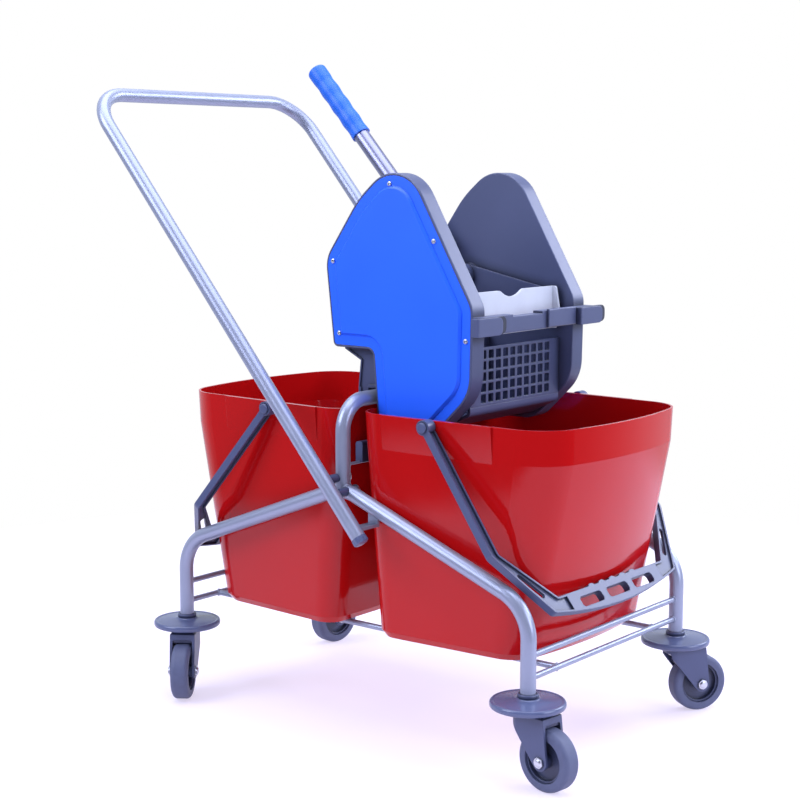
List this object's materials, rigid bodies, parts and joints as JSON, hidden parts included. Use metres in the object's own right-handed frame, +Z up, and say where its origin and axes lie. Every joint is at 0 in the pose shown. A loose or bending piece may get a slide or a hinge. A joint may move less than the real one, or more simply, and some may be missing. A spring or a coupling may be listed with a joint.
{
  "type": "double-bucket mop trolley",
  "caption": "Wheeled mop trolley with a front and a rear bucket in a bent-tube frame, a push handle and a lever press wringer over the front bucket.",
  "frame": {"origin": "on the floor, midway between the four castor legs", "axes": "+X towards the wringer end, +Y to the left, +Z up"},
  "size_m": [0.8323, 0.499, 0.9121],
  "materials": {
    "silver_paint": "satin silver paint",
    "zinc_steel": "zinc plated",
    "bright_tube": "bright plated",
    "grey_plastic": "fine moulded grain",
    "grey_tyre": "smooth matt",
    "red_plastic": "gloss moulded",
    "blue_plastic": "satin moulded",
    "white_plastic": "satin moulded"
  },
  "bodies": {
    "frame": {"side_frame_left": "silver_paint", "side_frame_right": "silver_paint", "centre_hoop": "silver_paint", "divider_wire": "silver_paint", "divider_bar": "grey_plastic", "front_end_rods": "silver_paint", "rear_end_rods": "silver_paint", "base_rails": "silver_paint", "handle_bow": "silver_paint", "handle_end_plugs": "grey_plastic", "handle_spacers": "grey_plastic", "handle_bolts": "zinc_steel", "handle_brackets": "silver_paint", "caster_stems": "zinc_steel", "front_right_bumper": "grey_plastic", "front_left_bumper": "grey_plastic", "rear_right_bumper": "grey_plastic", "rear_left_bumper": "grey_plastic"},
    "front_right_swivel_body": {"front_right_fork": "grey_plastic", "front_right_axle_bolt": "zinc_steel"},
    "front_right_wheel_body": {"front_right_tyre": "grey_tyre", "front_right_hub": "grey_plastic"},
    "front_left_swivel_body": {"front_left_fork": "grey_plastic", "front_left_axle_bolt": "zinc_steel"},
    "front_left_wheel_body": {"front_left_tyre": "grey_tyre", "front_left_hub": "grey_plastic"},
    "rear_right_swivel_body": {"rear_right_fork": "grey_plastic", "rear_right_axle_bolt": "zinc_steel"},
    "rear_right_wheel_body": {"rear_right_tyre": "grey_tyre", "rear_right_hub": "grey_plastic"},
    "rear_left_swivel_body": {"rear_left_fork": "grey_plastic", "rear_left_axle_bolt": "zinc_steel"},
    "rear_left_wheel_body": {"rear_left_tyre": "grey_tyre", "rear_left_hub": "grey_plastic"},
    "front_bucket_body": {"front_bucket": "red_plastic", "front_bail_pins": "grey_plastic"},
    "front_bail_body": {"front_bail": "grey_plastic"},
    "rear_bucket_body": {"rear_bucket": "red_plastic", "rear_bail_pins": "grey_plastic"},
    "rear_bail_body": {"rear_bail": "grey_plastic"},
    "wringer_body": {"left_housing": "grey_plastic", "right_housing": "grey_plastic", "left_cover": "blue_plastic", "right_cover": "blue_plastic", "cover_screws": "zinc_steel", "basket": "grey_plastic", "front_grille": "grey_plastic", "rear_hanger": "grey_plastic", "front_rail": "grey_plastic", "shaft_bushes": "grey_plastic", "return_spring": "zinc_steel"},
    "lever_body": {"lever_shaft": "zinc_steel", "lever_pinions": "white_plastic", "lever_socket": "grey_plastic", "lever_tube": "bright_tube", "lever_grip": "blue_plastic"},
    "jaw_body": {"press_jaw": "white_plastic", "jaw_arms": "grey_plastic", "jaw_shaft": "zinc_steel", "jaw_gears": "white_plastic"}
  },
  "joints": [
    {"name": "front_right_swivel", "type": "hinge", "parent": "frame", "child": "front_right_swivel_body", "pos_m": [0.3, -0.183, 0.092], "axis": [0, 0, 1], "continuous": true},
    {"name": "front_right_wheel_spin", "type": "hinge", "parent": "front_right_swivel_body", "child": "front_right_wheel_body", "pos_m": [0.33474, -0.18726, 0.04], "axis": [0.1219, 0.9925, 0], "continuous": true},
    {"name": "front_left_swivel", "type": "hinge", "parent": "frame", "child": "front_left_swivel_body", "pos_m": [0.3, 0.183, 0.092], "axis": [0, 0, 1], "continuous": true},
    {"name": "front_left_wheel_spin", "type": "hinge", "parent": "front_left_swivel_body", "child": "front_left_wheel_body", "pos_m": [0.31957, 0.21202, 0.04], "axis": [-0.829, 0.5592, 0], "continuous": true},
    {"name": "rear_right_swivel", "type": "hinge", "parent": "frame", "child": "rear_right_swivel_body", "pos_m": [-0.3, -0.183, 0.092], "axis": [0, 0, 1], "continuous": true},
    {"name": "rear_right_wheel_spin", "type": "hinge", "parent": "rear_right_swivel_body", "child": "rear_right_wheel_body", "pos_m": [-0.27992, -0.21167, 0.04], "axis": [0.8192, 0.5736, 0], "continuous": true},
    {"name": "rear_left_swivel", "type": "hinge", "parent": "frame", "child": "rear_left_swivel_body", "pos_m": [-0.3, 0.183, 0.092], "axis": [0, 0, 1], "continuous": true},
    {"name": "rear_left_wheel_spin", "type": "hinge", "parent": "rear_left_swivel_body", "child": "rear_left_wheel_body", "pos_m": [-0.30487, 0.14834, 0.04], "axis": [0.9903, -0.1392, 0], "continuous": true},
    {"name": "front_bucket_lift", "type": "slide", "parent": "frame", "child": "front_bucket_body", "axis": [0, 0, 1], "range_m": [0, 0.25]},
    {"name": "front_bail_swing", "type": "hinge", "parent": "front_bucket_body", "child": "front_bail_body", "pos_m": [0.137, 0, 0.432], "axis": [0, 1, 0], "range_deg": [-125, 0]},
    {"name": "rear_bucket_lift", "type": "slide", "parent": "frame", "child": "rear_bucket_body", "axis": [0, 0, 1], "range_m": [0, 0.02]},
    {"name": "rear_bail_swing", "type": "hinge", "parent": "rear_bucket_body", "child": "rear_bail_body", "pos_m": [-0.137, 0, 0.432], "axis": [0, 1, 0], "range_deg": [0, 130]},
    {"name": "wringer_lift", "type": "slide", "parent": "front_bucket_body", "child": "wringer_body", "axis": [0, 0, 1], "range_m": [0, 0.25]},
    {"name": "lever_pull", "type": "hinge", "parent": "wringer_body", "child": "lever_body", "pos_m": [-0.03804, 0, 0.6478], "axis": [0, 1, 0], "range_deg": [-75, 0], "stiffness_Nm_per_rad": 0.6, "springref_deg": 143.24},
    {"name": "jaw_press", "type": "hinge", "parent": "wringer_body", "child": "jaw_body", "pos_m": [-0.005, 0, 0.607], "axis": [0, 1, 0], "range_deg": [0, 37.5]}
  ],
  "couplings": [
    {"joint": "jaw_press", "follows": "lever_pull", "ratio": -0.5}
  ]
}
